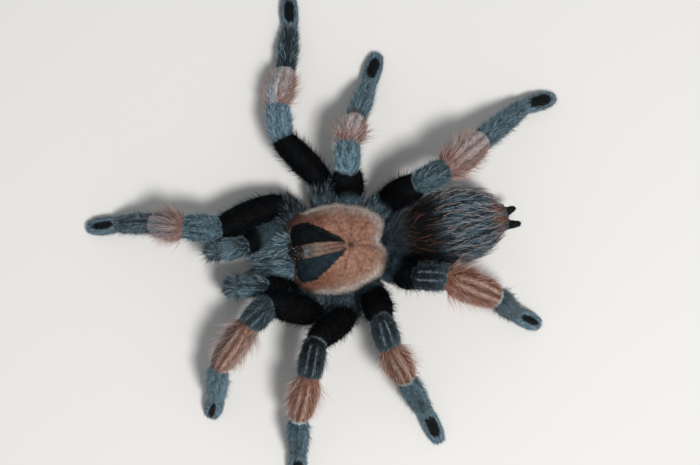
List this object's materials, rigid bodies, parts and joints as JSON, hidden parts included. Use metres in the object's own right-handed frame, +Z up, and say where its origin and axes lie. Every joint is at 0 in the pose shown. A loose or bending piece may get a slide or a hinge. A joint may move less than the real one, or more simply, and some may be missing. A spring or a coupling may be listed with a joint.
{
  "type": "tarantula",
  "caption": "Still life-size model of a tarantula standing on level ground: velvety orange carapace with two dark wedges, black femora, rose tibiae, slate-blue feet and a bristly dark abdomen.",
  "frame": {"origin": "on the floor, under the middle of the bounding box", "axes": "+Z up, the head towards -Y, the animal's left side towards +X"},
  "size_m": [0.1078, 0.1074, 0.0286],
  "materials": {
    "velvet_hair": "velvety black hair",
    "slate_hair": "dense blue-grey hair",
    "rose_hair": "rose and rust hair with long loose bristles",
    "carapace_hair": "short velvety orange-brown hair with two dark wedges",
    "abdomen_hair": "black to blue-grey down under long rusty bristles",
    "eye": "glossy black",
    "fang": "polished black"
  },
  "bodies": {
    "root": {"chelicera_right": "slate_hair", "fang_right": "fang", "chelicera_left": "slate_hair", "fang_left": "fang", "leg_1_right_femur": "velvet_hair", "leg_1_right_patella": "slate_hair", "leg_1_right_tibia": "rose_hair", "leg_1_right_foot": "slate_hair", "leg_2_right_femur": "velvet_hair", "leg_2_right_patella": "slate_hair", "leg_2_right_tibia": "rose_hair", "leg_2_right_foot": "slate_hair", "leg_3_right_femur": "velvet_hair", "leg_3_right_patella": "slate_hair", "leg_3_right_tibia": "rose_hair", "leg_3_right_foot": "slate_hair", "leg_4_right_femur": "velvet_hair", "leg_4_right_patella": "slate_hair", "leg_4_right_tibia": "rose_hair", "leg_4_right_foot": "slate_hair", "palp_right_femur": "velvet_hair", "palp_right_patella": "slate_hair", "palp_right_tibia": "rose_hair", "palp_right_tarsus": "slate_hair", "leg_1_left_femur": "velvet_hair", "leg_1_left_patella": "slate_hair", "leg_1_left_tibia": "rose_hair", "leg_1_left_foot": "slate_hair", "leg_2_left_femur": "velvet_hair", "leg_2_left_patella": "slate_hair", "leg_2_left_tibia": "rose_hair", "leg_2_left_foot": "slate_hair", "leg_3_left_femur": "velvet_hair", "leg_3_left_patella": "slate_hair", "leg_3_left_tibia": "rose_hair", "leg_3_left_foot": "slate_hair", "leg_4_left_femur": "velvet_hair", "leg_4_left_patella": "slate_hair", "leg_4_left_tibia": "rose_hair", "leg_4_left_foot": "slate_hair", "palp_left_femur": "velvet_hair", "palp_left_patella": "slate_hair", "palp_left_tibia": "rose_hair", "palp_left_tarsus": "slate_hair", "eye_front_median_right": "eye", "eye_front_median_left": "eye", "eye_front_lateral_right": "eye", "eye_front_lateral_left": "eye", "eye_rear_median_right": "eye", "eye_rear_median_left": "eye", "eye_rear_lateral_right": "eye", "eye_rear_lateral_left": "eye", "carapace": "carapace_hair", "waist": "slate_hair", "prosoma": "slate_hair", "abdomen": "abdomen_hair", "spinneret_long_right": "velvet_hair", "spinneret_short_right": "velvet_hair", "spinneret_long_left": "velvet_hair", "spinneret_short_left": "velvet_hair"}
  },
  "joints": []
}
